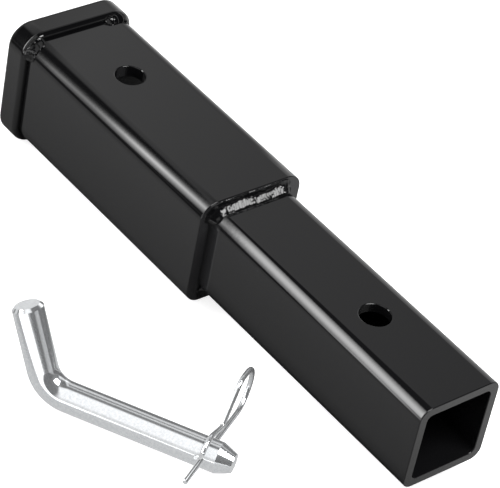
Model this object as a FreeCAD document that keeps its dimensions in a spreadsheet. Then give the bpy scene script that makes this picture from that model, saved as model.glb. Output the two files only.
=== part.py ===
import FreeCAD, Part
import math
import os
import Sketcher
from FreeCAD import Placement, Rotation, Vector

doc = FreeCAD.newDocument("HitchReceiverExtender")
sheet = doc.addObject("Spreadsheet::Sheet", "Sizes")

# Driving sizes in millimetres and degrees. X runs along the tubes from the mouth to the shank's end,
# Z is up along the pin holes, and the origin is where the receiver's pin hole crosses the tube's axis.
drivingSizes = {
    # tubes
    "shank_width": 50.8,
    "shank_wall": 5.0,
    "shank_corner": 6.5,
    "shank_reach": 164.0,
    "shank_insertion": 50.0,
    "receiver_wall": 6.35,
    "receiver_corner": 9.5,
    "receiver_length": 169.0,
    "inner_corner": 3.1,
    "socket_clearance": 0.5,
    "tube_edge_round": 0.5,
    # pin holes
    "mouth_to_receiver_hole": 62.0,
    "shank_hole_to_end": 65.0,
    "hole_clearance": 0.3,
    "hole_edge_round": 0.6,
    # collar
    "collar_thickness": 3.4,
    "collar_depth": 15.7,
    "collar_corner": 12.9,
    "collar_fit": 0.1,
    "collar_edge_round": 2.8,
    # weld beads
    "shank_bead_leg": 4.2,
    "shank_bead_rise": 6.2,
    "shank_bead_past_corner": 2.6,
    "shank_bead_short_of_side": 0.6,
    "collar_bead_leg": 4.8,
    "collar_bead_rise": 3.2,
    "near_bead_past_top": 1.2,
    "near_bead_down_side": 1.5,
    "far_bead_on_top": 7.0,
    "far_bead_short_of_side": 6.0,
    "bead_crown": 0.9,
    "bead_end_taper": 0.75,
    "bead_seat": 0.08,
    "ripple_pitch": 3.0,
    "ripple_depth": 0.35,
    # hitch pin
    "pin_diameter": 15.9,
    "pin_length": 99.0,
    "pin_handle_length": 45.0,
    "pin_bend_turn": 65.0,
    "pin_bend_radius": 17.0,
    "pin_tip_length": 7.7,
    "pin_tip_step": 3.0,
    "pin_handle_chamfer": 1.6,
    "clip_hole_to_tip": 14.2,
    "clip_hole_clearance": 0.5,
    # clip
    "clip_wire": 2.65,
    "clip_leg_reach": 29.3,
    "clip_loop_reach": 41.0,
    "clip_loop_radius": 12.3,
    "clip_shoulder_radius": 9.0,
    "clip_kink_radius": 2.5,
    "clip_flick_radius": 2.0,
    "clip_flick_length": 12.9,
    "clip_flick_drop": 2.4,
    "clip_flick_rise": 27.0,
    "clip_hug_end": 35.0,
    "clip_pin_clearance": 0.1,
    "clip_end_chamfer": 0.4,
    # where the pin lies beside the tubes
    "pin_yaw": 30.0,
    "pin_bend_ahead": 129.9,
    "pin_bend_aside": 133.8,
}


def fillSheet():
    for row, (alias, value) in enumerate(drivingSizes.items(), start=1):
        sheet.set(f"A{row}", alias)
        sheet.set(f"B{row}", str(value))
        sheet.setAlias(f"B{row}", alias)
    doc.recompute()


def size(alias):
    return float(sheet.get(alias))


# Sizes that follow from the driving ones, as expressions
shankLength = "(Sizes.shank_insertion + Sizes.shank_reach)"
receiverWidth = "(Sizes.shank_width + 2 * Sizes.socket_clearance + 2 * Sizes.receiver_wall)"
collarBore = "(Sizes.shank_width + 2 * Sizes.socket_clearance + 2 * Sizes.receiver_wall + 2 * Sizes.collar_fit)"
collarWidth = "(Sizes.shank_width + 2 * Sizes.socket_clearance + 2 * Sizes.receiver_wall + 2 * Sizes.collar_thickness)"
holeRadius = "(Sizes.pin_diameter / 2 + Sizes.hole_clearance)"
mouthPosition = "(-Sizes.mouth_to_receiver_hole)"
receiverEnd = "(Sizes.receiver_length - Sizes.mouth_to_receiver_hole)"


def newBody(name):
    body = doc.addObject("PartDesign::Body", name)
    body.Label = name
    return body


def newSketch(body, name, planeRole):
    sketch = body.newObject("Sketcher::SketchObject", name)
    plane = next(f for f in body.Origin.OriginFeatures if f.Role == planeRole)
    sketch.AttachmentSupport = (plane, "")
    sketch.MapMode = "FlatFace"
    return sketch


def bindConstraint(sketch, constraint, name, expression):
    index = sketch.addConstraint(constraint)
    sketch.renameConstraint(index, name)
    sketch.setExpression(f"Constraints.{name}", expression)


# A square with round corners about the sketch's origin: four sides and four tangent arcs
def roundedSquare(sketch, name, width, radius, startWidth, startRadius):
    half = startWidth / 2
    flat = half - startRadius
    first = sketch.GeometryCount
    up = Vector(0, 0, 1)
    for turn in range(4):
        spin = Rotation(up, 90 * turn)
        side = Part.LineSegment(spin.multVec(Vector(half, -flat, 0)), spin.multVec(Vector(half, flat, 0)))
        centre = spin.multVec(Vector(flat, flat, 0))
        start = math.pi / 2 * turn
        corner = Part.ArcOfCircle(Part.Circle(centre, up, startRadius), start, start + math.pi / 2)
        sketch.addGeometry(side, False)
        sketch.addGeometry(corner, False)
    sides = [first + 2 * turn for turn in range(4)]
    corners = [side + 1 for side in sides]
    for turn in range(4):
        sketch.addConstraint(Sketcher.Constraint("Tangent", sides[turn], 2, corners[turn], 1))
        sketch.addConstraint(Sketcher.Constraint("Tangent", corners[turn], 2, sides[(turn + 1) % 4], 1))
    for side in (sides[0], sides[2]):
        sketch.addConstraint(Sketcher.Constraint("Vertical", side))
    for side in (sides[1], sides[3]):
        sketch.addConstraint(Sketcher.Constraint("Horizontal", side))
    for corner in corners[1:]:
        sketch.addConstraint(Sketcher.Constraint("Equal", corners[0], corner))
    sketch.addConstraint(Sketcher.Constraint("Symmetric", sides[0], 1, sides[2], 1, -1, 1))
    radiusRule = Sketcher.Constraint("Radius", corners[0], startRadius)
    bindConstraint(sketch, radiusRule, name + "Radius", radius)
    acrossRule = Sketcher.Constraint("DistanceX", sides[2], 1, sides[0], 1, startWidth)
    bindConstraint(sketch, acrossRule, name + "Across", width)
    tallRule = Sketcher.Constraint("DistanceY", sides[3], 1, sides[1], 1, startWidth)
    bindConstraint(sketch, tallRule, name + "Tall", width)


def pad(body, name, sketch, length):
    feature = body.newObject("PartDesign::Pad", name)
    feature.Profile = sketch
    feature.setExpression("Length", length)
    doc.recompute()
    return feature


# A round hole along Z or Y through the whole body, cut both ways from the sketch's plane
def throughHole(body, name, planeRole, centreX, radius, startX):
    sketch = newSketch(body, name + "_sketch", planeRole)
    up = Vector(0, 0, 1)
    circle = sketch.addGeometry(Part.Circle(Vector(startX, 0, 0), up, size("pin_diameter") / 2), False)
    sketch.addConstraint(Sketcher.Constraint("PointOnObject", circle, 3, -1))
    radiusRule = Sketcher.Constraint("Radius", circle, size("pin_diameter") / 2)
    bindConstraint(sketch, radiusRule, "holeRadius", radius)
    centreRule = Sketcher.Constraint("DistanceX", -1, 1, circle, 3, startX)
    bindConstraint(sketch, centreRule, "holeCentre", centreX)
    solidBefore = body.Shape.Volume
    pocket = body.newObject("PartDesign::Pocket", name)
    pocket.Profile = sketch
    pocket.Type = "ThroughAll"
    pocket.SideType = "Symmetric"
    doc.recompute()
    if body.Shape.Volume >= solidBefore:
        raise RuntimeError(name + " cuts nothing")
    return pocket


def edgesWhere(feature, wanted):
    return [f"Edge{n}" for n, edge in enumerate(feature.Shape.Edges, start=1) if wanted(edge)]


def roundEdges(body, name, base, wanted, radius):
    feature = body.newObject("PartDesign::Fillet", name)
    feature.Base = (base, edgesWhere(base, wanted))
    feature.setExpression("Radius", radius)
    doc.recompute()
    return feature


def isCircle(edge, radius):
    return isinstance(edge.Curve, Part.Circle) and abs(edge.Curve.Radius - radius) < 0.01


def liesAt(edge, x):
    return abs(edge.BoundBox.XMin - x) < 0.01 and abs(edge.BoundBox.XMax - x) < 0.01


def farOut(edge):
    box = edge.BoundBox
    return max(abs(box.YMin), abs(box.YMax), abs(box.ZMin), abs(box.ZMax))


# A square tube along X with one pin hole across it, its hole rims and end edges eased
def squareTube(name, outside, wall, corner, length, holeFromStart, startOutside, startLength, startHole):
    body = newBody(name)
    section = newSketch(body, name + "_section", "YZ_Plane")
    startInside = startOutside - 2 * size(wall)
    roundedSquare(section, "outside", outside, f"Sizes.{corner}", startOutside, size(corner))
    inside = f"({outside} - 2 * Sizes.{wall})"
    roundedSquare(section, "inside", inside, "Sizes.inner_corner", startInside, size("inner_corner"))
    pad(body, name + "_length", section, length)
    hole = throughHole(body, name + "_pin_hole", "XY_Plane", holeFromStart, holeRadius, startHole)
    radius = size("pin_diameter") / 2 + size("hole_clearance")
    half = startOutside / 2
    rims = roundEdges(
        body, name + "_hole_rims", hole,
        lambda edge: isCircle(edge, radius) and abs(abs(edge.BoundBox.ZMax) - half) < 0.01,
        "Sizes.hole_edge_round")
    roundEdges(
        body, name + "_end_edges", rims,
        lambda edge: liesAt(edge, 0) or liesAt(edge, startLength),
        "Sizes.tube_edge_round")
    return body


def buildShankTube():
    length = size("shank_insertion") + size("shank_reach")
    body = squareTube(
        "shank_tube", "Sizes.shank_width", "shank_wall", "shank_corner", shankLength,
        f"{shankLength} - Sizes.shank_hole_to_end",
        size("shank_width"), length, length - size("shank_hole_to_end"))
    body.setExpression(".Placement.Base.x", f"{receiverEnd} - Sizes.shank_insertion")
    return body


def buildReceiverTube():
    outside = size("shank_width") + 2 * size("socket_clearance") + 2 * size("receiver_wall")
    body = squareTube(
        "receiver_tube", receiverWidth, "receiver_wall", "receiver_corner", "Sizes.receiver_length",
        "Sizes.mouth_to_receiver_hole",
        outside, size("receiver_length"), size("mouth_to_receiver_hole"))
    body.setExpression(".Placement.Base.x", mouthPosition)
    return body


def buildCollar():
    body = newBody("reinforcing_collar")
    section = newSketch(body, "collar_section", "YZ_Plane")
    tube = size("shank_width") + 2 * size("socket_clearance") + 2 * size("receiver_wall")
    roundedSquare(
        section, "outside", collarWidth, "Sizes.collar_corner",
        tube + 2 * size("collar_thickness"), size("collar_corner"))
    roundedSquare(
        section, "bore", collarBore, "Sizes.receiver_corner + Sizes.collar_fit",
        tube + 2 * size("collar_fit"), size("receiver_corner") + size("collar_fit"))
    band = pad(body, "collar_depth", section, "Sizes.collar_depth")
    reach = tube / 2 + size("collar_thickness")
    depth = size("collar_depth")
    inner = tube / 2 + size("collar_fit")
    betweenBoreAndOutside = (inner + reach) / 2
    roundEdges(
        body, "collar_outer_edges", band,
        lambda edge: (liesAt(edge, 0) or liesAt(edge, depth)) and farOut(edge) > betweenBoreAndOutside,
        "Sizes.collar_edge_round")
    body.setExpression(".Placement.Base.x", mouthPosition)
    return body


# A point on a square with round corners, its outward normal, from the middle of the top face towards -Y
def onPerimeter(along, half, radius):
    flat = half - radius
    arc = radius * math.pi / 2
    side = 1 if along >= 0 else -1
    run = abs(along)
    if run <= flat:
        return Vector(0, -along, half), Vector(0, 0, 1)
    if run <= flat + arc:
        angle = (run - flat) / radius
        normal = Vector(0, -side * math.sin(angle), math.cos(angle))
        return Vector(0, -side * flat, flat) + normal * radius, normal
    return Vector(0, -side * half, flat - (run - flat - arc)), Vector(0, -side, 0)


# One cross-section of a bead: a leg along the tube, a crowned face, and a back that climbs the flat of
# the face behind it and then follows that face's rounded edge
def beadSection(foot, normal, leg, rise, crown, flatRise, edgeRound):
    ahead = Vector(1, 0, 0)
    toe = foot + ahead * leg
    if rise > flatRise:
        bend = foot + normal * flatRise
        lean = math.asin((rise - flatRise) / edgeRound)
        top = bend + (normal * math.sin(lean) - ahead * (1 - math.cos(lean))) * edgeRound
        onRound = bend + (normal * math.sin(lean / 2) - ahead * (1 - math.cos(lean / 2))) * edgeRound
        back = Part.Arc(top, onRound, bend).toShape()
    else:
        bend = foot + normal * rise / 2
        top = foot + normal * rise
        back = Part.makeLine(top, bend)
    outward = (ahead * rise + normal * (toe.x - top.x)).normalize()
    middle = (toe + top) * 0.5 + outward * crown
    face = Part.Arc(toe, middle, top).toShape()
    return Part.Wire([Part.makeLine(foot, toe), face, back, Part.makeLine(bend, foot)])


# A rippled fillet bead in the corner between a tube and a face across it, lofted through two sections a
# ripple. Its run is measured round the tube from the middle of the top face, towards -Y.
def weldBead(name, tubeHalf, corner, leg, rise, flatRise, edgeRound, start, finish, position):
    steps = 2 * max(2, round((finish - start) / size("ripple_pitch")))
    taperSteps = 3
    seat = size("bead_seat")
    sections = []
    for step in range(steps + 1):
        along = start + (finish - start) * step / steps
        onTube, normal = onPerimeter(along, tubeHalf, corner)
        fromEnd = min(1, min(step, steps - step) / taperSteps)
        swell = math.sqrt(1 - size("bead_end_taper") * (1 - fromEnd) ** 2)
        ripple = 1 - size("ripple_depth") / leg * (step % 2)
        foot = onTube + normal * seat + Vector(seat, 0, 0)
        grown = swell * ripple
        crown = size("bead_crown") * grown
        sections.append(beadSection(foot, normal, leg * grown, rise * grown, crown, flatRise, edgeRound))
    bead = doc.addObject("Part::Feature", name)
    bead.Label = name
    bead.Shape = Part.makeLoft(sections, True, True)
    bead.Placement = Placement(Vector(position, 0, 0), Rotation())
    return bead


# The two long beads hold the shank in the receiver's end, above and below.
# The collar's beads sit in the two upper corners behind it, and one runs along underneath.
def buildWelds():
    shankHalfWidth = size("shank_width") / 2
    shankFlat = shankHalfWidth - size("shank_corner")
    shankQuarter = size("shank_corner") * math.pi / 2
    receiverHalf = shankHalfWidth + size("socket_clearance") + size("receiver_wall")
    receiverFlat = receiverHalf - size("receiver_corner")
    receiverQuarter = size("receiver_corner") * math.pi / 2
    shankJoint = size("receiver_length") - size("mouth_to_receiver_hole")
    collarFace = size("collar_depth") - size("mouth_to_receiver_hole")

    def shankBead(name):
        return weldBead(
            name, shankHalfWidth, size("shank_corner"), size("shank_bead_leg"), size("shank_bead_rise"),
            receiverHalf - shankHalfWidth - size("tube_edge_round"), size("tube_edge_round"),
            -shankFlat - size("shank_bead_past_corner"),
            shankFlat + shankQuarter - size("shank_bead_short_of_side"), shankJoint)

    def collarBead(name, start, finish):
        return weldBead(
            name, receiverHalf, size("receiver_corner"), size("collar_bead_leg"), size("collar_bead_rise"),
            size("collar_thickness") - size("collar_edge_round"), size("collar_edge_round"),
            start, finish, collarFace)

    top = shankBead("shank_weld_top")
    bottom = shankBead("shank_weld_bottom")
    near = collarBead(
        "collar_weld_near", receiverFlat + size("near_bead_past_top"),
        receiverFlat + receiverQuarter + size("near_bead_down_side"))
    far = collarBead(
        "collar_weld_far", -receiverFlat - receiverQuarter + size("far_bead_short_of_side"),
        -receiverFlat + size("far_bead_on_top"))
    below = collarBead("collar_weld_below", -receiverFlat, receiverFlat)
    turnedOver = Rotation(Vector(1, 0, 0), 180)
    for bead in (bottom, below):
        bead.Placement = Placement(bead.Placement.Base, turnedOver)
    return [top, bottom, near, far, below]


# The shorter arc between two points at one distance from its centre
def shortArc(centre, start, end):
    toStart = start - centre
    toEnd = end - centre
    startAngle = math.atan2(toStart.y, toStart.x)
    endAngle = math.atan2(toEnd.y, toEnd.x)
    if (endAngle - startAngle) % (2 * math.pi) > math.pi:
        startAngle, endAngle = endAngle, startAngle
    circle = Part.Circle(centre, Vector(0, 0, 1), toStart.Length)
    return Part.ArcOfCircle(circle, startAngle, endAngle)


# The bent pin lies in its own XZ plane: the shaft along X from the corner where both axes meet
def buildPin():
    body = newBody("hitch_pin")
    turn = math.radians(size("pin_bend_turn"))
    bend = size("pin_bend_radius")
    tangent = bend * math.tan(turn / 2)
    length = size("pin_length")
    reach = size("pin_handle_length")
    radius = size("pin_diameter") / 2
    route = newSketch(body, "pin_route", "XZ_Plane")
    handleEnd = Vector(-reach * math.cos(turn), reach * math.sin(turn), 0)
    bendStart = Vector(tangent, 0, 0)
    bendEnd = Vector(-tangent * math.cos(turn), tangent * math.sin(turn), 0)
    shaft = route.addGeometry(Part.LineSegment(Vector(length, 0, 0), bendStart), False)
    curve = route.addGeometry(shortArc(Vector(tangent, bend, 0), bendEnd, bendStart), False)
    handle = route.addGeometry(Part.LineSegment(bendEnd, handleEnd), False)
    route.addConstraint(Sketcher.Constraint("Tangent", shaft, 2, curve, 2))
    route.addConstraint(Sketcher.Constraint("Tangent", curve, 1, handle, 1))
    route.addConstraint(Sketcher.Constraint("Horizontal", shaft))
    route.addConstraint(Sketcher.Constraint("PointOnObject", shaft, 1, -1))
    route.addConstraint(Sketcher.Constraint("PointOnObject", -1, 1, handle))
    lengthRule = Sketcher.Constraint("DistanceX", -1, 1, shaft, 1, length)
    bindConstraint(route, lengthRule, "shaftLength", "Sizes.pin_length")
    bendRule = Sketcher.Constraint("Radius", curve, bend)
    bindConstraint(route, bendRule, "bendRadius", "Sizes.pin_bend_radius")
    riseRule = Sketcher.Constraint("DistanceY", -1, 1, handle, 2, handleEnd.y)
    rise = "Sizes.pin_handle_length * sin(Sizes.pin_bend_turn)"
    bindConstraint(route, riseRule, "handleRise", rise)
    backRule = Sketcher.Constraint("DistanceX", handle, 2, -1, 1, -handleEnd.x)
    back = "Sizes.pin_handle_length * cos(Sizes.pin_bend_turn)"
    bindConstraint(route, backRule, "handleBack", back)
    rod = newSketch(body, "pin_section", "YZ_Plane")
    rod.setExpression("AttachmentOffset.Base.z", "Sizes.pin_length")
    circle = rod.addGeometry(Part.Circle(Vector(0, 0, 0), Vector(0, 0, 1), radius), False)
    rod.addConstraint(Sketcher.Constraint("Coincident", circle, 3, -1, 1))
    rodRule = Sketcher.Constraint("Diameter", circle, 2 * radius)
    bindConstraint(rod, rodRule, "rodDiameter", "Sizes.pin_diameter")
    doc.recompute()
    bar = body.newObject("PartDesign::AdditivePipe", "pin_bar")
    bar.Profile = rod
    bar.Spine = (route, ["Edge1", "Edge2", "Edge3"])
    doc.recompute()
    hole = throughHole(
        body, "pin_clip_hole", "XZ_Plane", "Sizes.pin_length - Sizes.clip_hole_to_tip",
        "(Sizes.clip_wire + Sizes.clip_hole_clearance) / 2", length - size("clip_hole_to_tip"))
    tip = body.newObject("PartDesign::Chamfer", "pin_tip_cone")
    tip.Base = (hole, edgesWhere(hole, lambda edge: isCircle(edge, radius) and liesAt(edge, length)))
    tip.ChamferType = "Two distances"
    tip.setExpression("Size", "Sizes.pin_tip_length")
    tip.setExpression("Size2", "Sizes.pin_tip_step")
    doc.recompute()
    handleX = handleEnd.x
    handleRim = body.newObject("PartDesign::Chamfer", "pin_handle_rim")
    handleRim.Base = (tip, edgesWhere(
        tip, lambda edge: isCircle(edge, radius) and (edge.Curve.Center - Vector(handleX, 0, handleEnd.y)).Length < 0.1))
    handleRim.setExpression("Size", "Sizes.pin_handle_chamfer")
    doc.recompute()
    return body


# Where a line from a point touches a circle about the origin, on the circle's upper or lower side
def touchPoint(point, radius, above):
    distance = point.Length
    toCentre = math.atan2(-point.y, -point.x)
    aside = math.asin(radius / distance) * (1 if above else -1)
    run = math.sqrt(distance ** 2 - radius ** 2)
    return point + Vector(math.cos(toCentre + aside), math.sin(toCentre + aside), 0) * run


# The tangent points and the centre of a round corner of a route
def roundCorner(before, corner, after, radius):
    inward = (before - corner).normalize()
    outward = (after - corner).normalize()
    halfAngle = inward.getAngle(outward) / 2
    cut = radius / math.tan(halfAngle)
    bisector = (inward + outward).normalize()
    centre = corner + bisector * (radius / math.sin(halfAngle))
    return corner + inward * cut, centre, corner + outward * cut


# The clip's centre line, from the free end of its straight leg: the leg, the round loop, its shoulder,
# the kink beside the pin, the arm that hugs the pin and the flicked-out end.
# The pin's centre is the origin, and the leg runs through it along X.
def clipRoute():
    loopReach = size("clip_loop_reach")
    loop = size("clip_loop_radius")
    wire = size("clip_wire")
    hug = (size("pin_diameter") + wire) / 2 + size("clip_pin_clearance")
    legEnd = Vector(size("clip_leg_reach"), 0, 0)
    loopStart = Vector(-loopReach, 0, 0)
    loopCentre = Vector(-loopReach, loop, 0)
    loopTop = Vector(-loopReach, 2 * loop, 0)
    kink = Vector(-hug - wire * 3, wire * 2, 0)
    shoulder = Vector(-loopReach + loop * 0.74, 2 * loop, 0)
    hugStart = touchPoint(kink, hug, True)
    hugEndAngle = math.radians(size("clip_hug_end"))
    hugEnd = Vector(math.cos(hugEndAngle), math.sin(hugEndAngle), 0) * hug
    down = Vector(math.sin(hugEndAngle), -math.cos(hugEndAngle), 0)
    flick = hugEnd + down * size("clip_flick_drop")
    flickAngle = math.radians(size("clip_flick_rise"))
    flickEnd = flick + Vector(math.cos(flickAngle), math.sin(flickAngle), 0) * size("clip_flick_length")
    bends = [
        roundCorner(loopTop, shoulder, kink, size("clip_shoulder_radius")),
        roundCorner(shoulder, kink, hugStart, size("clip_kink_radius")),
        (hugStart, Vector(0, 0, 0), hugEnd),
        roundCorner(hugEnd, flick, flickEnd, size("clip_flick_radius")),
    ]
    loopCircle = Part.Circle(loopCentre, Vector(0, 0, 1), loop)
    loopEnd = Part.ArcOfCircle(loopCircle, math.pi / 2, 3 * math.pi / 2)
    pieces = [Part.LineSegment(legEnd, loopStart), loopEnd]
    here = loopTop
    for start, centre, end in bends:
        pieces.append(Part.LineSegment(here, start))
        pieces.append(shortArc(centre, start, end))
        here = end
    pieces.append(Part.LineSegment(here, flickEnd))
    return pieces


def buildClip():
    body = newBody("hitch_clip")
    route = newSketch(body, "clip_route", "XY_Plane")
    pieces = clipRoute()
    for piece in pieces:
        route.addGeometry(piece, False)
    wire = newSketch(body, "clip_section", "YZ_Plane")
    wire.setExpression("AttachmentOffset.Base.z", "Sizes.clip_leg_reach")
    circle = wire.addGeometry(Part.Circle(Vector(0, 0, 0), Vector(0, 0, 1), size("clip_wire") / 2), False)
    wire.addConstraint(Sketcher.Constraint("Coincident", circle, 3, -1, 1))
    wireRule = Sketcher.Constraint("Diameter", circle, size("clip_wire"))
    bindConstraint(wire, wireRule, "wireDiameter", "Sizes.clip_wire")
    doc.recompute()
    bent = body.newObject("PartDesign::AdditivePipe", "clip_bent_wire")
    bent.Profile = wire
    bent.Spine = (route, [f"Edge{n}" for n in range(1, len(pieces) + 1)])
    doc.recompute()
    radius = size("clip_wire") / 2
    ends = (pieces[0].StartPoint, pieces[-1].EndPoint)
    rims = body.newObject("PartDesign::Chamfer", "clip_end_rims")
    rims.Base = (bent, edgesWhere(bent, lambda edge: isCircle(edge, radius) and any(
        (edge.Curve.Center - end).Length < 0.1 for end in ends)))
    rims.setExpression("Size", "Sizes.clip_end_chamfer")
    doc.recompute()
    return body


# The pin lies on its shaft with the clip's loop down on the same floor as the collar, which rolls it a little
def layDown(pin, clip):
    pinRadius = size("pin_diameter") / 2
    loopReach = size("clip_loop_reach")
    loop = size("clip_loop_radius")
    wireRadius = size("clip_wire") / 2
    lift = loop + wireRadius - pinRadius
    roll = math.atan2(loop, loopReach) - math.asin(lift / math.hypot(loop, loopReach))
    floor = -(size("shank_width") / 2 + size("socket_clearance") + size("receiver_wall") + size("collar_thickness"))
    yaw = Rotation(Vector(0, 0, 1), size("pin_yaw"))
    leanBack = Rotation(Vector(1, 0, 0), -math.degrees(roll))
    corner = Vector(size("pin_bend_ahead"), -size("pin_bend_aside"), floor + pinRadius)
    pin.Placement = Placement(corner, yaw.multiply(leanBack))
    throughPin = Rotation(Vector(0, -1, 0), Vector(0, 0, 1), Vector(-1, 0, 0), "ZXY")
    hole = Vector(size("pin_length") - size("clip_hole_to_tip"), 0, 0)
    clip.Placement = pin.Placement.multiply(Placement(hole, throughPin))


def checkAndExport(parts):
    doc.recompute()
    for item in doc.Objects:
        if "Invalid" in item.State or "Error" in item.State:
            raise RuntimeError(f"{item.Name} failed: {item.State}")
    for item in parts:
        if item.Shape.isNull() or not item.Shape.isValid() or not item.Shape.Solids:
            raise RuntimeError(item.Label + " has no valid shape")
    os.makedirs("parts", exist_ok=True)
    for item in parts:
        item.Shape.exportStep(f"parts/{item.Label}.step")
        box = item.Shape.BoundBox
        print(f"{item.Label}: {item.Shape.Volume / 1000:.2f} cm3, {len(item.Shape.Solids)} solid,"
              f" X {box.XMin:.2f}..{box.XMax:.2f} Y {box.YMin:.2f}..{box.YMax:.2f} Z {box.ZMin:.2f}..{box.ZMax:.2f}")


fillSheet()
tubes = [buildShankTube(), buildReceiverTube(), buildCollar()]
welds = buildWelds()
hitchPin = buildPin()
hitchClip = buildClip()
layDown(hitchPin, hitchClip)
checkAndExport(tubes + welds + [hitchPin, hitchClip])
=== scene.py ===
import math

import bpy
import numpy as np
from mathutils import Matrix, Vector


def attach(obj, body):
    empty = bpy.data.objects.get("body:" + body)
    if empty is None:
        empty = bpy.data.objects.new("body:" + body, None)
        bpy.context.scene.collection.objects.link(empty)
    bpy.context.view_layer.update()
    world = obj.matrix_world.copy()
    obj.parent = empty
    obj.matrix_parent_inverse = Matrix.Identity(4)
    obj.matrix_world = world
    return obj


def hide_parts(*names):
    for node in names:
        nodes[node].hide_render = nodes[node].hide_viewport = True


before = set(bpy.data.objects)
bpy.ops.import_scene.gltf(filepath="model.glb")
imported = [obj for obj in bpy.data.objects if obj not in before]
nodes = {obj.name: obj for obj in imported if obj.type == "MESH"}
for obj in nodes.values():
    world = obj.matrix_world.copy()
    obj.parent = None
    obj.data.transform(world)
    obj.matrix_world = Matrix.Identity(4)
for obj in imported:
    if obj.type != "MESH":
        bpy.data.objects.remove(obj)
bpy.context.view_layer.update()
scene = bpy.context.scene
print("frame loaded:", ", ".join(sorted(nodes)))


def hexToLinear(code):
    channels = [int(code[i:i + 2], 16) / 255 for i in (1, 3, 5)]
    return tuple(c / 12.92 if c <= 0.04045 else ((c + 0.055) / 1.055) ** 2.4 for c in channels) + (1.0,)


# Adds one node: settings are its attributes, inputs its sockets' values or what feeds them
def addNode(tree, kind, inputs=None, **settings):
    node = tree.nodes.new(kind)
    for name, value in settings.items():
        setattr(node, name, value)
    for name, value in (inputs or {}).items():
        if isinstance(value, bpy.types.NodeSocket):
            tree.links.new(value, node.inputs[name])
        else:
            node.inputs[name].default_value = value
    return node


def newMaterial(name):
    material = bpy.data.materials.new(name)
    material.use_nodes = True
    material.node_tree.nodes.clear()
    return material, material.node_tree


def setRamp(node, stops):
    elements = node.color_ramp.elements
    while len(elements) > 1:
        elements.remove(elements[-1])
    elements[0].position, elements[0].color = stops[0][0], stops[0][1]
    for position, colour in stops[1:]:
        elements.new(position).color = colour


def grey(value):
    return (value, value, value, 1.0)


def meshFromGrid(name, points, closedAround, material):
    rows, columns = points.shape[:2]
    index = np.arange(rows * columns).reshape(rows, columns)
    if closedAround:
        index = np.hstack([index, index[:, :1]])
    quads = np.stack([index[:-1, :-1], index[1:, :-1], index[1:, 1:], index[:-1, 1:]], axis=-1).reshape(-1, 4)
    mesh = bpy.data.meshes.new(name)
    mesh.from_pydata(points.reshape(-1, 3).tolist(), [], quads.tolist())
    mesh.polygons.foreach_set("use_smooth", [True] * len(mesh.polygons))
    mesh.materials.append(material)
    piece = bpy.data.objects.new(name, mesh)
    scene.collection.objects.link(piece)
    return piece


# Camera: the photo's standpoint, a long lens from the front left, turned a little about its own axis
cameraView = {
    "standMm": (850.4, -745.0, 827.2),
    "azimuth": 44.731,
    "elevation": 38.252,
    "roll": 11.832,
    "lensMm": 188.47,
    "sensorMm": 36,
    "clip": (0.05, 50),
}


def makeCamera(view):
    azimuth, elevation = math.radians(view["azimuth"]), math.radians(view["elevation"])
    ahead = Vector((-math.sin(azimuth) * math.cos(elevation), math.cos(azimuth) * math.cos(elevation),
                    -math.sin(elevation)))
    level = ahead.cross(Vector((0, 0, 1))).normalized()
    upright = level.cross(ahead)
    roll = math.radians(view["roll"])
    right = level * math.cos(roll) + upright * math.sin(roll)
    up = right.cross(ahead)
    turn = Matrix((right, up, -ahead)).transposed().to_4x4()
    data = bpy.data.cameras.new("photoView")
    data.lens = view["lensMm"]
    data.sensor_width = view["sensorMm"]
    data.clip_start, data.clip_end = view["clip"]
    camera = bpy.data.objects.new("photoView", data)
    camera.matrix_world = Matrix.Translation(Vector(view["standMm"]) / 1000) @ turn
    scene.collection.objects.link(camera)
    scene.camera = camera


makeCamera(cameraView)
print("camera set")


# Powder coat: a deep glossy black skin with a faint orange peel, set for each piece to look as in the photo.
# On the shank's sides a strip beside the step between the tubes is given a lighter base colour: a painted
# reflection, standing in for the even mirror image of the step there. It isn't known to be on the real coat.
shankCoat = {"colour": "#0c0c0d", "endFacingPaintedLight": "#1f1f1f", "roughness": 0.045, "specular": 0.39,
             "peelMm": 2.2, "peelHeightMm": 0.004, "grainMm": 0.5, "grainHeightMm": 0.001,
             "paintedStepReflection": {"colour": "#212122", "endMm": (113.9, 114.8), "sideways": (0.85, 1.0)}}
receiverCoat = {"colour": "#0c0c0d", "endFacingPaintedLight": "#222223", "roughness": 0.055, "specular": 0.39,
                "peelMm": 2.0, "peelHeightMm": 0.002, "grainMm": 0.55, "grainHeightMm": 0.0012}
collarCoat = {"colour": "#0c0c0d", "endFacingPaintedLight": "#0c0c0d", "roughness": 0.045, "specular": 0.39,
              "peelMm": 2.2, "peelHeightMm": 0.001, "grainMm": 0.5, "grainHeightMm": 0.0004}
weldCoat = {"colour": "#0a0a0b", "endFacingPaintedLight": "#0a0a0b", "roughness": 0.08, "specular": 0.32,
            "peelMm": 0.9, "peelHeightMm": 0.009, "grainMm": 0.4, "grainHeightMm": 0.001}


# One layer of unevenness: noise of a size and a height in mm, over the normal that is given
def coatBump(tree, place, sizeMm, heightMm, detail, over=None):
    noise = addNode(tree, "ShaderNodeTexNoise", {"Vector": place, "Scale": 1000 / sizeMm, "Detail": detail})
    inputs = {"Strength": 1.0, "Distance": heightMm / 1000, "Height": noise.outputs["Fac"]}
    if over is not None:
        inputs["Normal"] = over
    return addNode(tree, "ShaderNodeBump", inputs).outputs["Normal"]
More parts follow.
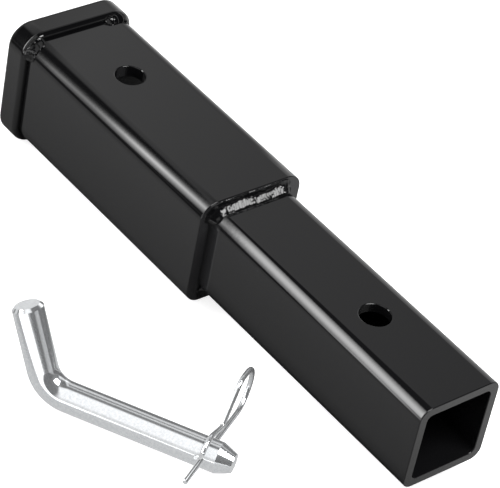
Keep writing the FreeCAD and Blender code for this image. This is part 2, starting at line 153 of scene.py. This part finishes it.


# The painted reflection on that strip: a lighter tone on faces that look sideways, up to a distance along the
# tubes
def paintStepReflection(tree, place, normal, tone, paintedStepReflection):
    near, far = paintedStepReflection["endMm"]
    beside = addNode(tree, "ShaderNodeMapRange", {
        "Value": addNode(tree, "ShaderNodeSeparateXYZ", {"Vector": place}).outputs["X"],
        "From Min": near / 1000, "From Max": far / 1000, "To Min": 1.0, "To Max": 0.0})
    sideways = addNode(tree, "ShaderNodeMath", {0: normal["Y"]}, operation="ABSOLUTE")
    onSide = addNode(tree, "ShaderNodeMapRange", {
        "Value": sideways.outputs["Value"], "From Min": paintedStepReflection["sideways"][0], "From Max": paintedStepReflection["sideways"][1]})
    paintedReflectionShare = addNode(tree, "ShaderNodeMath", {
        0: beside.outputs["Result"], 1: onSide.outputs["Result"]}, operation="MULTIPLY")
    return addNode(tree, "ShaderNodeMix", {
        "Factor": paintedReflectionShare.outputs["Value"], "A": tone, "B": hexToLinear(paintedStepReflection["colour"])}, data_type="RGBA")


# Faces that look towards the shank's end are given a lighter tone: painted light on the end and step faces.
# The tone comes in between these two parts of the normal along the tubes.
paintedLightFacing = (0.9, 0.97)


def makePowderCoat(name, coat):
    material, tree = newMaterial(name)
    place = addNode(tree, "ShaderNodeTexCoord").outputs["Object"]
    coarse = coatBump(tree, place, coat["peelMm"], coat["peelHeightMm"], 2.0)
    fine = coatBump(tree, place, coat["grainMm"], coat["grainHeightMm"], 1.0, coarse)
    normal = addNode(tree, "ShaderNodeSeparateXYZ", {
        "Vector": addNode(tree, "ShaderNodeNewGeometry").outputs["True Normal"]}).outputs
    # Painted light: a lighter tone on faces that look towards the shank's end
    facingShankEnd = addNode(tree, "ShaderNodeMapRange", {
        "Value": normal["X"], "From Min": paintedLightFacing[0], "From Max": paintedLightFacing[1]})
    tone = addNode(tree, "ShaderNodeMix", {
        "Factor": facingShankEnd.outputs["Result"], "A": hexToLinear(coat["colour"]),
        "B": hexToLinear(coat["endFacingPaintedLight"])}, data_type="RGBA")
    # The painted reflection beside the step goes over the tone
    if "paintedStepReflection" in coat:
        tone = paintStepReflection(tree, place, normal, tone.outputs["Result"], coat["paintedStepReflection"])
    skin = addNode(tree, "ShaderNodeBsdfPrincipled", {
        "Base Color": tone.outputs["Result"], "Roughness": coat["roughness"], "IOR": 1.5,
        "Specular IOR Level": coat["specular"], "Normal": fine})
    addNode(tree, "ShaderNodeOutputMaterial", {"Surface": skin.outputs["BSDF"]})
    return material


# Bright zinc plating: a milky silver skin over drawn steel, with a mottled bloom
zincPlate = {
    "colour": "#fafbfc",
    "shade": "#d2d6da",
    "metallic": 0.86,
    "roughness": 0.13,
    "mottleMm": 1.1,
    "mottleHeightMm": 0.004,
}


def makeZinc(name, plate):
    material, tree = newMaterial(name)
    place = addNode(tree, "ShaderNodeTexCoord").outputs["Object"]
    mottle = addNode(tree, "ShaderNodeTexNoise", {
        "Vector": place, "Scale": 1000 / plate["mottleMm"], "Detail": 3.0})
    tone = addNode(tree, "ShaderNodeMix", {
        "Factor": mottle.outputs["Fac"], "A": hexToLinear(plate["shade"]), "B": hexToLinear(plate["colour"])},
        data_type="RGBA")
    bump = addNode(tree, "ShaderNodeBump", {
        "Strength": 1.0, "Distance": plate["mottleHeightMm"] / 1000, "Height": mottle.outputs["Fac"]})
    skin = addNode(tree, "ShaderNodeBsdfPrincipled", {
        "Base Color": tone.outputs["Result"], "Metallic": plate["metallic"], "Roughness": plate["roughness"],
        "Normal": bump.outputs["Normal"]})
    addNode(tree, "ShaderNodeOutputMaterial", {"Surface": skin.outputs["BSDF"]})
    return material


coatedShank = makePowderCoat("coatedShank", shankCoat)
coatedReceiver = makePowderCoat("coatedReceiver", receiverCoat)
coatedCollar = makePowderCoat("coatedCollar", collarCoat)
coatedWeld = makePowderCoat("coatedWeld", weldCoat)
brightZinc = makeZinc("brightZinc", zincPlate)
finishes = {
    "shank_tube": coatedShank,
    "receiver_tube": coatedReceiver,
    "reinforcing_collar": coatedCollar,
    "hitch_pin": brightZinc,
    "hitch_clip": brightZinc,
}
for nodeName, finish in finishes.items():
    nodes[nodeName].data.materials.clear()
    nodes[nodeName].data.materials.append(finish)
# The pin and its clip are left out of reflections, because the photo's black sides don't show them
for nodeName in ("hitch_pin", "hitch_clip"):
    nodes[nodeName].visible_glossy = False
print("finishes assigned")


# Smooth seeded noise on a grid: random values on coarse cells, joined by cosine steps along both ways
def smoothNoise(rng, rows, columns, rowCells, columnCells):
    def spread(values, count):
        cells = values.shape[0] - 1
        at = np.linspace(0, cells, count)
        low = np.minimum(at.astype(int), cells - 1)
        blend = (1 - np.cos(np.pi * (at - low))) / 2
        blend = blend.reshape((-1,) + (1,) * (values.ndim - 1))
        return values[low] * (1 - blend) + values[low + 1] * blend
    coarse = rng.uniform(-1, 1, (rowCells + 1, columnCells + 1))
    return spread(spread(coarse, rows).T, columns).T


# Points and outward normals (y, z) on a square with round corners, by the run from the middle of the top
# face towards -Y: straight, then round the corner, then down the side
def squareWalk(run, half, corner):
    flat, quarter = half - corner, corner * math.pi / 2
    side = np.sign(run)
    far = np.abs(run)
    turn = np.clip((far - flat) / corner, 0, math.pi / 2)
    down = np.maximum(far - flat - quarter, 0)
    y = -side * (np.minimum(far, flat) + corner * np.sin(turn))
    z = flat + corner * np.cos(turn) - down
    return np.stack([y, z], axis=-1), np.stack([-side * np.sin(turn), np.cos(turn)], axis=-1)


# Weld beads, in mm. A bead runs round a tube in the corner before a wall. Its section goes out along the
# tube to the toe, up a face given by knots from toe to top, and back down the wall. Its scales are a
# sawtooth along the run that bows backwards at the bead's edges, over slow and fine seeded unevenness.
# On the shank's near corner they calm down into a dent, a bell in run and in place up the face.
shankBead = {
    "half": 25.4, "corner": 6.5, "wallX": 107.0, "seat": 0.1, "setback": 0.0,
    "run": (-24.0, 28.4), "stepMm": 0.1, "faceSteps": 56,
    "faceAlong": (4.2, 3.75, 2.6, 1.35, 0.8, 0.6, 0.5, 0.0),
    "faceUp": (0.0, 0.75, 1.7, 2.9, 3.8, 4.9, 5.9, 6.3),
    "scalePitch": 1.5, "scaleHeight": 0.27, "scaleBow": 0.5, "slowHeight": 0.3, "fineHeight": 0.085,
    "dent": {"run": 23.4, "at": 0.32, "height": -0.7, "length": 2.7, "width": 0.34, "calm": (16.5, 19.0)},
    "taperMm": 3.5, "seed": 4,
}
collarBead = {
    "half": 32.25, "corner": 9.5, "wallX": -46.3, "seat": 0.1, "setback": 1.3,
    "run": (24.2, 39.0), "stepMm": 0.2, "faceSteps": 48,
    "faceAlong": (4.7, 4.2, 3.2, 2.1, 1.0, 0.1, -0.8),
    "faceUp": (0.0, 0.7, 1.2, 1.7, 2.3, 2.9, 3.2),
    "scalePitch": 2.6, "scaleHeight": 0.4, "scaleBow": 0.5, "slowHeight": 0.5, "fineHeight": 0.07,
    "taperMm": 3.0, "seed": 11,
}


# What the beads share: how often the face's knots are softened and with which weights; the part of its pitch
# in which a scale falls; how far scales drift, in pitches, and the run in mm of one cell of each noise, with
# its cells up the face; the least height over the tube; how much the ends shrink; steps of back and underside
beadMaking = {
    "softenTimes": 3, "softenWeights": (1, 2, 3, 2, 1), "scaleFall": 0.9,
    "drift": 0.25, "driftCellMm": 4, "slowCellMm": 3.2, "slowCellsUp": 3, "fineCellMm": 0.8, "fineCellsUp": 9,
    "edge": 0.02, "leastUp": 0.02, "endShrink": 0.97, "backSteps": 10, "underSteps": 8,
}


# The face of a bead's section: distance along the tube and up from it, and the outward direction in both
def beadFace(bead, at):
    knots = np.linspace(0, 1, len(bead["faceAlong"]))
    along = np.interp(at, knots, bead["faceAlong"])
    up = np.interp(at, knots, bead["faceUp"])
    weights = np.array(beadMaking["softenWeights"]) / sum(beadMaking["softenWeights"])
    for _ in range(beadMaking["softenTimes"]):
        along[2:-2] = np.convolve(along, weights, "valid")
        up[2:-2] = np.convolve(up, weights, "valid")
    outX, outUp = np.gradient(up), -np.gradient(along)
    length = np.hypot(outX, outUp)
    return along, up, outX / length, outUp / length


# How far the face stands out at each point of the run and of the section: scales, dent and unevenness
def beadRise(bead, run, at):
    start, finish = bead["run"]
    rows, steps, span = len(run), len(at), finish - start
    rng = np.random.default_rng(bead["seed"])
    bow = bead["scaleBow"] * (2 * at - 1) ** 2
    drift = beadMaking["drift"] * smoothNoise(rng, rows, 1, int(span / beadMaking["driftCellMm"]), 1)
    phase = (run[:, None] / bead["scalePitch"] + drift - bow[None]) % 1.0
    fall = beadMaking["scaleFall"]
    tooth = np.where(phase < fall, 1 - phase / fall, (phase - fall) / (1 - fall)) - 0.5
    slow = smoothNoise(rng, rows, steps, int(span / beadMaking["slowCellMm"]), beadMaking["slowCellsUp"])
    fine = smoothNoise(rng, rows, steps, int(span / beadMaking["fineCellMm"]), beadMaking["fineCellsUp"])
    rise = bead["scaleHeight"] * tooth
    if "dent" in bead:
        dent = bead["dent"]
        bell = dent["height"] * np.exp(-((run[:, None] - dent["run"]) / dent["length"]) ** 2
                                       - ((at[None] - dent["at"]) / dent["width"]) ** 2)
        calmFrom, calmTo = dent["calm"]
        rise = rise * (1 - np.clip((run - calmFrom) / (calmTo - calmFrom), 0, 1)[:, None]) + bell
    rise = rise + bead["slowHeight"] * slow + bead["fineHeight"] * fine
    edge = beadMaking["edge"]
    return (rise - bead["scaleHeight"] / 2) * np.sin(np.pi * np.clip(at, edge, 1 - edge))[None] ** 0.5


def makeBead(name, node, bead, turnedOver):
    start, finish = bead["run"]
    run = np.linspace(start, finish, int((finish - start) / bead["stepMm"]) + 1)
    at = np.linspace(0, 1, bead["faceSteps"])
    foot, normal = squareWalk(run, bead["half"], bead["corner"])
    along, up, outX, outUp = beadFace(bead, at)
    rise = beadRise(bead, run, at)
    fromEnd = np.clip(np.minimum(run - start, finish - run) / bead["taperMm"], 0, 1)
    swell = np.sqrt(1 - (1 - fromEnd) ** 2 * beadMaking["endShrink"])[:, None]
    faceX = (along[None] + rise * outX[None]) * swell
    faceX = np.maximum(faceX, -bead["setback"] * swell * at[None])
    faceUp = np.maximum(up[None] + rise * outUp[None], beadMaking["leastUp"]) * swell
    # The section goes on down the back, which curves with the wall's edge, and along under the bead
    back = np.linspace(1, 0, beadMaking["backSteps"] + 1)[None, 1:-1]
    under = np.linspace(0, 1, beadMaking["underSteps"] + 1)[None, :-1]
    loopX = np.hstack([faceX, faceX[:, -1:] * back ** 2, faceX[:, :1] * under]) + bead["seat"]
    loopUp = np.hstack([faceUp, faceUp[:, -1:] * back, faceUp[:, :1] * under]) + bead["seat"]
    points = np.empty(loopX.shape + (3,))
    points[..., 0] = bead["wallX"] + loopX
    points[..., 1:] = foot[:, None] + normal[:, None] * loopUp[..., None]
    points[0], points[-1] = points[0].mean(axis=0), points[-1].mean(axis=0)
    if turnedOver:
        points[..., 1:] *= -1
    # The sections run clockwise seen along the run, so they are turned round for outward normals
    piece = meshFromGrid(name, points[:, ::-1] / 1000, True, coatedWeld)
    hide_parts(node)
    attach(piece, "root")


beads = {
    "shank_weld_top": (shankBead, {}, False),
    "shank_weld_bottom": (shankBead, {"seed": 7}, True),
    "collar_weld_near": (collarBead, {}, False),
    "collar_weld_far": (collarBead, {"run": (-31.5, -15.9), "seed": 5}, False),
    "collar_weld_below": (collarBead, {"run": (-22.5, 22.5), "seed": 9}, True),
}
for nodeName, (bead, changes, turnedOver) in beads.items():
    makeBead(nodeName + "_surface", nodeName, {**bead, **changes}, turnedOver)
print("weld beads made:", ", ".join(beads))


# Coat taken to have closed the narrow gap between the tubes: a thin ring just inside the end, between two
# squares with round corners, each given as half its width and its corner in mm
coatInGap = {"inner": (25.42, 6.5), "outer": (25.88, 3.2), "x": (105.6, 106.7), "cornerSteps": 10}


def makeGapRing(name, ring):
    def outline(half, corner):
        turn = np.linspace(0, math.pi / 2, ring["cornerSteps"])
        flat = half - corner
        quarter = np.stack([flat + corner * np.sin(turn), flat + corner * np.cos(turn)], axis=-1)
        walk = [quarter]
        for _ in range(3):
            last = walk[-1]
            walk.append(np.stack([last[:, 1], -last[:, 0]], axis=-1))
        return np.vstack(walk)
    near, far = ring["x"]
    inner, outer = ring["inner"], ring["outer"]
    loops = []
    for (half, corner), x in ((inner, near), (inner, far), (outer, far), (outer, near)):
        around = outline(half, corner)
        loops.append(np.column_stack([np.full(len(around), x), around]))
    points = np.stack(loops, axis=1)
    points = np.concatenate([points, points[:1]])
    piece = meshFromGrid(name, points / 1000, True, coatedReceiver)
    piece.data.polygons.foreach_set("use_smooth", [False] * len(piece.data.polygons))
    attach(piece, "root")


makeGapRing("coat_in_gap", coatInGap)


# Studio: a white floor that keeps a faint shadow. Reflections see something else there: grey paper by the
# distance across, dark near the object and again far out on the left; a dark place under the shank's open
# end; and from farLeft outwards the foot of the long box that hangs over the shank, with a patch of paper in
# front of it. The foot's light goes by lines on the floor, which way numbers, and by dip, the angle at which
# the shank's near corner looks down on it. The eye is that corner: its height and how far left it is.
# These levels, and those of the air below, were fitted so that the coat and the zinc are as bright as in
# the photo from its standpoint. They are levels of light by place or direction.
studio = {
    "floorZ": -0.0358,
    "floorHalf": 5.0,
    "floorWhite": "#dadada",
    "cameraLift": 0.8,
    "mirrorStrength": 1.2,
    "mirrorSpan": (-1.5, 1.5),
    "mirrorAcross": ((-1.5, 0.25), (-0.62, 0.25), (-0.44, 0.06), (-0.25, 0.06), (-0.17, 0.58), (-0.09, 0.62),
                     (-0.045, 0.42), (-0.03, 0.3), (0.05, 0.9), (0.2, 0.9), (0.5, 1.2), (1.5, 1.2)),
    "underShank": {"reach": (0.262, 0.274), "half": (0.028, 0.045), "left": 0.12},
    "farLeft": (-0.2, -0.18),
    "boxFoot": {"perAcross": -0.593, "perWay": 233.0, "shift": 1.3, "perDip": -92.0, "eye": (0.056, 0.0225),
                "end": (0.286, 0.3), "strength": 18.0, "rampSpan": 100.0,
                "ramp": ((30, 0.0), (34, 0.05), (40, 0.22), (50, 0.33), (60, 0.5), (72, 0.8))},
    "paperPatch": {"strength": 2.2, "fades": (0.5, 0.9)},
}


def paperLight(tree, plan, spot):
    low, high = plan["mirrorSpan"]
    strength, under = plan["mirrorStrength"], plan["underShank"]
    across = addNode(tree, "ShaderNodeMapRange", {"Value": spot["Y"], "From Min": low, "From Max": high})
    ramp = addNode(tree, "ShaderNodeValToRGB", {"Fac": across.outputs["Result"]})
    setRamp(ramp, [((y - low) / (high - low), grey(v / strength)) for y, v in plan["mirrorAcross"]])
    ahead = addNode(tree, "ShaderNodeMapRange", {
        "Value": spot["X"], "From Min": under["reach"][0], "From Max": under["reach"][1]})
    fromAxis = addNode(tree, "ShaderNodeMath", {0: spot["Y"]}, operation="ABSOLUTE")
    aside = addNode(tree, "ShaderNodeMapRange", {
        "Value": fromAxis.outputs["Value"], "From Min": under["half"][0], "From Max": under["half"][1]})
    clear = addNode(tree, "ShaderNodeMath", {
        0: ahead.outputs["Result"], 1: aside.outputs["Result"]}, operation="MAXIMUM")
    shade = addNode(tree, "ShaderNodeMapRange", {
        "Value": clear.outputs["Value"], "To Min": under["left"] * strength, "To Max": strength})
    return addNode(tree, "ShaderNodeEmission", {
        "Color": ramp.outputs["Color"], "Strength": shade.outputs["Result"]}).outputs["Emission"]


def boxFootLight(tree, plan, spot):
    foot, patch = plan["boxFoot"], plan["paperPatch"]
    eyeHeight, eyeLeft = foot["eye"]
    outside = addNode(tree, "ShaderNodeMapRange", {
        "Value": spot["Y"], "From Min": plan["farLeft"][0], "From Max": plan["farLeft"][1],
        "To Min": 1.0, "To Max": 0.0})
    way = addNode(tree, "ShaderNodeMath", {
        0: spot["Y"], 1: foot["perAcross"], 2: spot["X"]}, operation="MULTIPLY_ADD").outputs["Value"]
    away = addNode(tree, "ShaderNodeMath", {0: -eyeLeft, 1: spot["Y"]}, operation="SUBTRACT")
    dip = addNode(tree, "ShaderNodeMath", {0: eyeHeight, 1: away.outputs["Value"]}, operation="ARCTAN2")
    byWay = addNode(tree, "ShaderNodeMath", {
        0: way, 1: foot["perWay"], 2: foot["shift"]}, operation="MULTIPLY_ADD")
    depth = addNode(tree, "ShaderNodeMath", {
        0: dip.outputs["Value"], 1: foot["perDip"], 2: byWay.outputs["Value"]}, operation="MULTIPLY_ADD")
    depthPart = addNode(tree, "ShaderNodeMath", {
        0: depth.outputs["Value"], 1: 1 / foot["rampSpan"]}, operation="MULTIPLY")
    ramp = addNode(tree, "ShaderNodeValToRGB", {"Fac": depthPart.outputs["Value"]})
    setRamp(ramp, [(at / foot["rampSpan"], grey(v)) for at, v in foot["ramp"]])
    footLevel = addNode(tree, "ShaderNodeMath", {
        0: ramp.outputs["Color"], 1: foot["strength"]}, operation="MULTIPLY")
    patchLevel = addNode(tree, "ShaderNodeMapRange", {
        "Value": spot["X"], "From Min": patch["fades"][0], "From Max": patch["fades"][1],
        "To Min": patch["strength"], "To Max": 0.0})
    inFront = addNode(tree, "ShaderNodeMapRange", {
        "Value": way, "From Min": foot["end"][0], "From Max": foot["end"][1]})
    either = addNode(tree, "ShaderNodeMix", {
        "Factor": inFront.outputs["Result"], "A": footLevel.outputs["Value"],
        "B": patchLevel.outputs["Result"]}, data_type="FLOAT")
    level = addNode(tree, "ShaderNodeMath", {
        0: either.outputs["Result"], 1: outside.outputs["Result"]}, operation="MULTIPLY")
    return addNode(tree, "ShaderNodeEmission", {"Strength": level.outputs["Value"]}).outputs["Emission"]


def makeFloor(plan):
    material, tree = newMaterial("paperFloor")
    path = addNode(tree, "ShaderNodeLightPath").outputs
    place = addNode(tree, "ShaderNodeTexCoord").outputs["Object"]
    spot = addNode(tree, "ShaderNodeSeparateXYZ", {"Vector": place}).outputs
    paper = addNode(tree, "ShaderNodeBsdfDiffuse", {"Color": hexToLinear(plan["floorWhite"])})
    lift = addNode(tree, "ShaderNodeMath", {
        0: path["Is Camera Ray"], 1: plan["cameraLift"]}, operation="MULTIPLY")
    glow = addNode(tree, "ShaderNodeEmission", {"Strength": lift.outputs["Value"]})
    seen = addNode(tree, "ShaderNodeAddShader", {0: paper.outputs["BSDF"], 1: glow.outputs["Emission"]})
    mirrored = addNode(tree, "ShaderNodeAddShader", {
        0: paperLight(tree, plan, spot), 1: boxFootLight(tree, plan, spot)})
    either = addNode(tree, "ShaderNodeMixShader", {
        "Fac": path["Is Glossy Ray"], 1: seen.outputs["Shader"], 2: mirrored.outputs["Shader"]})
    addNode(tree, "ShaderNodeOutputMaterial", {"Surface": either.outputs["Shader"]})
    half, z = plan["floorHalf"], plan["floorZ"]
    corners = np.array([[[-half, -half, z], [-half, half, z]], [[half, -half, z], [half, half, z]]])
    floor = meshFromGrid("floor", corners, False, material)


# Air round the studio, in layers that each depend on two angles of a direction: turn is its angle about the
# tubes' axis, 0 at the right, 90 overhead and 180 at the left, and lean is its part along the tubes.
# The two long boxes at the left draw the bright lines down the near corners of the two tubes. They hang
# aslant: slant gives the degrees of turn for one unit of lean, and the lean at which byTurn holds.
air = {
    "backWall": {
        "strength": 1.08,
        "byTurn": ((0, 1.0), (18, 0.8), (30, 0.66), (42, 0.85), (47, 1.0), (50, 1.0), (54, 0.3), (58, 0.04),
                   (64, 0.03), (190, 0.03), (200, 0.0)),
        "byLean": ((-0.70, 0.05), (-0.655, 0.64), (-0.641, 0.85), (-0.633, 0.98), (-0.60, 0.86),
                   (-0.56, 0.74), (-0.46, 0.52), (-0.43, 0.9), (-0.30, 0.9), (-0.26, 0.03)),
    },
    "wallAtRight": {
        "strength": 1.15,
        "byTurn": ((0, 1.0), (34, 1.0), (44, 0.0)),
        "byLean": ((-0.568, 0.0), (-0.562, 1.0), (0.25, 0.9), (0.35, 0.0)),
    },
    "wallOverReceiver": {
        "strength": 1.0,
        "byTurn": ((49, 0.0), (53, 0.8), (56, 1.1), (80, 1.1), (87, 0.7), (92, 0.25), (96, 0.0)),
        "byLean": ((-0.641, 0.0), (-0.637, 1.0), (-0.605, 0.9), (-0.573, 0.8), (-0.566, 0.0)),
    },
    "wallOverCollar": {
        "strength": 1.2,
        "byTurn": ((49, 0.0), (53, 0.8), (56, 1.1), (90, 1.1), (98, 0.6), (104, 0.0)),
        "byLean": ((-0.68, 0.0), (-0.66, 1.0), (-0.645, 1.0), (-0.640, 0.0)),
    },
    "boxOverReceiver": {
        "strength": 31.0,
        "byTurn": ((111, 0.0), (115, 0.02), (120, 0.06), (125, 0.13), (131, 0.26), (137, 0.47), (143, 0.76),
                   (149, 1.0), (155, 0.82), (161, 0.56), (167, 0.4), (173, 0.28), (179, 0.12), (184, 0.0)),
        "byLean": ((-0.640, 0.0), (-0.637, 0.25), (-0.630, 0.2), (-0.621, 0.17), (-0.615, 0.19),
                   (-0.610, 0.3), (-0.603, 0.52), (-0.597, 0.7), (-0.592, 0.71), (-0.586, 0.62),
                   (-0.580, 0.55), (-0.568, 0.6), (-0.564, 0.0)),
        "slant": (-420.0, -0.605),
    },
    "boxOverShank": {
        "strength": 18.0,
        "byTurn": ((79, 0.0), (83, 0.08), (88, 0.24), (94, 0.38), (106, 0.62), (118, 0.89), (130, 0.98),
                   (142, 0.89), (148, 0.79), (160, 0.5), (170, 0.33), (178, 0.25), (184, 0.08), (188, 0.0)),
        "byLean": ((-0.5632, 0.0), (-0.5608, 0.92), (-0.55, 1.03), (-0.50, 1.04), (-0.42, 1.0), (-0.36, 0.0)),
        "slant": (400.0, -0.53),
    },
    "wallBehindPin": {
        "strength": 0.85,
        "byTurn": ((50, 0.0), (58, 1.0), (72, 1.0), (78, 0.0)),
        "byLean": ((-0.468, 0.0), (-0.455, 1.0), (-0.32, 1.0), (-0.28, 0.0)),
    },
    "paperInFront": {
        "strength": 1.4,
        "byTurn": ((90, 0.0), (98, 1.0), (158, 1.0), (166, 0.7), (200, 0.7), (210, 0.0)),
        "byLean": ((-0.36, 0.0), (-0.28, 1.0), (0.34, 1.0), (0.44, 0.03)),
    },
    "wallAhead": {
        "strength": 0.48,
        "byTurn": ((0, 1.0), (20, 1.0), (32, 0.0)),
        "byLean": ((0.68, 0.0), (0.76, 0.8), (0.86, 1.0), (1.0, 1.0)),
    },
    "wallBehindMouth": {
        "strength": 0.8,
        "byTurn": ((0, 1.0), (200, 1.0), (210, 0.0)),
        "byLean": ((-1.0, 1.0), (-0.80, 1.0), (-0.74, 0.0)),
    },
}


def makeWorld(layers):
    world = bpy.data.worlds.new("studioAir")
    world.use_nodes = True
    tree = world.node_tree
    tree.nodes.clear()
    path = addNode(tree, "ShaderNodeLightPath").outputs
    direction = addNode(tree, "ShaderNodeTexCoord").outputs["Generated"]
    parts = addNode(tree, "ShaderNodeSeparateXYZ", {"Vector": direction}).outputs
    angle = addNode(tree, "ShaderNodeMath", {0: parts["Z"], 1: parts["Y"]}, operation="ARCTAN2")
    circle = 2 * math.pi
    wrapped = addNode(tree, "ShaderNodeMath", {
        0: angle.outputs["Value"], 1: circle, 2: 0.0}, operation="WRAP")
    turn = addNode(tree, "ShaderNodeMapRange", {
        "Value": wrapped.outputs["Value"], "From Min": 0.0, "From Max": circle})
    lean = addNode(tree, "ShaderNodeMapRange", {"Value": parts["X"], "From Min": -1.0, "From Max": 1.0})
    total = 0.0
    for layer in layers.values():
        perLean, around = layer.get("slant", (0.0, 0.0))
        past = addNode(tree, "ShaderNodeMath", {0: parts["X"], 1: around}, operation="SUBTRACT")
        ownTurn = addNode(tree, "ShaderNodeMath", {
            0: past.outputs["Value"], 1: -perLean / 360, 2: turn.outputs["Result"]}, operation="MULTIPLY_ADD")
        byTurn = addNode(tree, "ShaderNodeValToRGB", {"Fac": ownTurn.outputs["Value"]})
        setRamp(byTurn, [(degrees / 360, grey(v)) for degrees, v in layer["byTurn"]])
        byLean = addNode(tree, "ShaderNodeValToRGB", {"Fac": lean.outputs["Result"]})
        setRamp(byLean, [((x + 1) / 2, grey(v)) for x, v in layer["byLean"]])
        product = addNode(tree, "ShaderNodeMath", {
            0: byTurn.outputs["Color"], 1: byLean.outputs["Color"]}, operation="MULTIPLY").outputs["Value"]
        total = addNode(tree, "ShaderNodeMath", {
            0: product, 1: layer["strength"], 2: total}, operation="MULTIPLY_ADD").outputs["Value"]
    lit = addNode(tree, "ShaderNodeBackground", {"Strength": total})
    white = addNode(tree, "ShaderNodeBackground", {"Color": grey(1.0)})
    shown = addNode(tree, "ShaderNodeMixShader", {
        "Fac": path["Is Camera Ray"], 1: lit.outputs["Background"], 2: white.outputs["Background"]})
    addNode(tree, "ShaderNodeOutputWorld", {"Surface": shown.outputs["Shader"]})
    scene.world = world


# Lamps: a small soft box behind the right picks out the weld beads
lamps = {
    "beadSoftBox": {"aim": (0.108, 0.0, 0.028), "toward": (0.62, 0.14, 0.77), "reach": 0.6,
                    "width": 0.36, "height": 0.26, "power": 5.2},
}


def makeLamp(name, lamp):
    data = bpy.data.lights.new(name, "AREA")
    data.shape = "RECTANGLE"
    data.size = lamp["width"]
    data.size_y = lamp["height"]
    data.energy = lamp["power"]
    light = bpy.data.objects.new(name, data)
    toward = Vector(lamp["toward"]).normalized()
    light.location = Vector(lamp["aim"]) + toward * lamp["reach"]
    light.rotation_mode = "QUATERNION"
    light.rotation_quaternion = (-toward).to_track_quat("-Z", "Y")
    scene.collection.objects.link(light)


makeFloor(studio)
makeWorld(air)
for lampName, lamp in lamps.items():
    makeLamp(lampName, lamp)
scene.view_settings.view_transform = "Standard"
print("studio lit")
